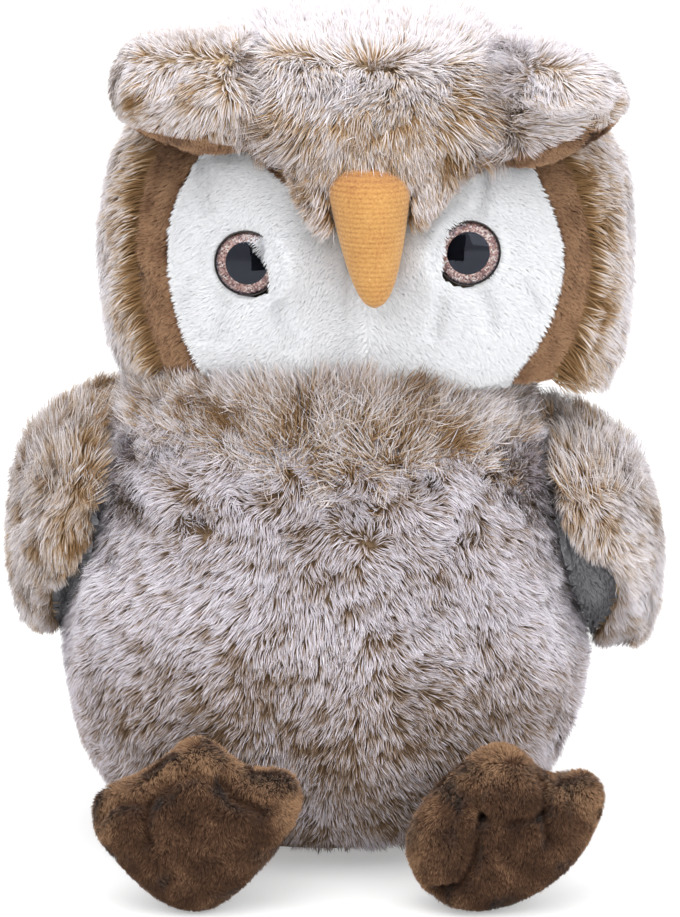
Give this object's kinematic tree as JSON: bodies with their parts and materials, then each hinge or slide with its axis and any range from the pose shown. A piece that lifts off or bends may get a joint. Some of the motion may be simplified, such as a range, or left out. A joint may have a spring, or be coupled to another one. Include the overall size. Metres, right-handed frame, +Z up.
{
  "type": "plush owl",
  "caption": "Sitting stuffed owl of long pile fur, with a broad head that turns, folding brow tufts, hanging wings, soft tilting feet, glitter eyes and a knit beak.",
  "frame": {"origin": "on the flat that the body rests on, under the middle of the body", "axes": "+Z up, the owl faces -Y, +X to the viewer's right"},
  "size_m": [0.1875, 0.144, 0.2378],
  "materials": {
    "long_fur": "long pile plush fur, about 9 mm, brown at the root and white at the tip",
    "brown_plush": "short pile plush, about 2 mm",
    "white_plush": "short pile plush, about 2 mm",
    "grey_plush": "short pile plush, about 2 mm",
    "orange_knit": "fine rib knit",
    "fibre_fill": "polyester fibre filling",
    "cotton_bag": "plain cotton bag of plastic pellets",
    "dark_rim": "dark moulded acrylic cup",
    "glitter": "copper glitter film",
    "black_gloss": "polished black acrylic",
    "clear_dome": "clear moulded acrylic",
    "nylon": "white nylon"
  },
  "bodies": {
    "torso": {"body_fur_cover": "long_fur", "body_stuffing": "fibre_fill", "pellet_bag": "cotton_bag"},
    "head": {"head_fur_cover": "long_fur", "brow_fur": "long_fur", "head_stuffing": "fibre_fill", "beak_cover": "orange_knit", "beak_stuffing": "fibre_fill", "face_panel_left": "white_plush", "face_border_left": "brown_plush", "eye_cup_left": "dark_rim", "eye_glitter_ring_left": "glitter", "eye_pupil_left": "black_gloss", "eye_dome_left": "clear_dome", "eye_washer_left": "nylon", "face_panel_right": "white_plush", "face_border_right": "brown_plush", "eye_cup_right": "dark_rim", "eye_glitter_ring_right": "glitter", "eye_pupil_right": "black_gloss", "eye_dome_right": "clear_dome", "eye_washer_right": "nylon"},
    "tuft_left": {"tuft_fur_left": "long_fur", "tuft_lining_left": "brown_plush"},
    "wing_left": {"wing_fur_left": "long_fur", "wing_lining_left": "grey_plush"},
    "foot_left": {"foot_upper_left": "brown_plush", "foot_sole_left": "brown_plush", "foot_stuffing_left": "fibre_fill"},
    "tuft_right": {"tuft_fur_right": "long_fur", "tuft_lining_right": "brown_plush"},
    "wing_right": {"wing_fur_right": "long_fur", "wing_lining_right": "grey_plush"},
    "foot_right": {"foot_upper_right": "brown_plush", "foot_sole_right": "brown_plush", "foot_stuffing_right": "fibre_fill"}
  },
  "joints": [
    {"name": "head_turn", "type": "hinge", "parent": "torso", "child": "head", "pos_m": [0.0112, -0.001, 0.127], "axis": [0, 0, 1], "range_deg": [-25, 25], "stiffness_Nm_per_rad": 0.15},
    {"name": "wing_left_flap", "type": "hinge", "parent": "torso", "child": "wing_left", "pos_m": [-0.0585, 0.002, 0.1275], "axis": [0, 1, 0], "range_deg": [0, 45], "stiffness_Nm_per_rad": 0.03},
    {"name": "wing_right_flap", "type": "hinge", "parent": "torso", "child": "wing_right", "pos_m": [0.0602, 0.002, 0.1225], "axis": [0, -1, 0], "range_deg": [0, 25], "stiffness_Nm_per_rad": 0.03},
    {"name": "tuft_left_lift", "type": "hinge", "parent": "head", "child": "tuft_left", "pos_m": [-0.01543, -0.05, 0.20826], "axis": [0, 0.7403, 0.6723], "range_deg": [0, 14], "stiffness_Nm_per_rad": 0.02},
    {"name": "tuft_right_lift", "type": "hinge", "parent": "head", "child": "tuft_right", "pos_m": [0.0433, -0.05, 0.20525], "axis": [0, -0.7242, -0.6896], "range_deg": [0, 14], "stiffness_Nm_per_rad": 0.02},
    {"name": "foot_left_tilt", "type": "hinge", "parent": "torso", "child": "foot_left", "pos_m": [-0.0352, -0.053, 0.02], "axis": [1, 0, 0], "range_deg": [-8, 12], "stiffness_Nm_per_rad": 0.05},
    {"name": "foot_right_tilt", "type": "hinge", "parent": "torso", "child": "foot_right", "pos_m": [0.0483, -0.047, 0.02], "axis": [1, 0, 0], "range_deg": [-8, 12], "stiffness_Nm_per_rad": 0.05}
  ]
}
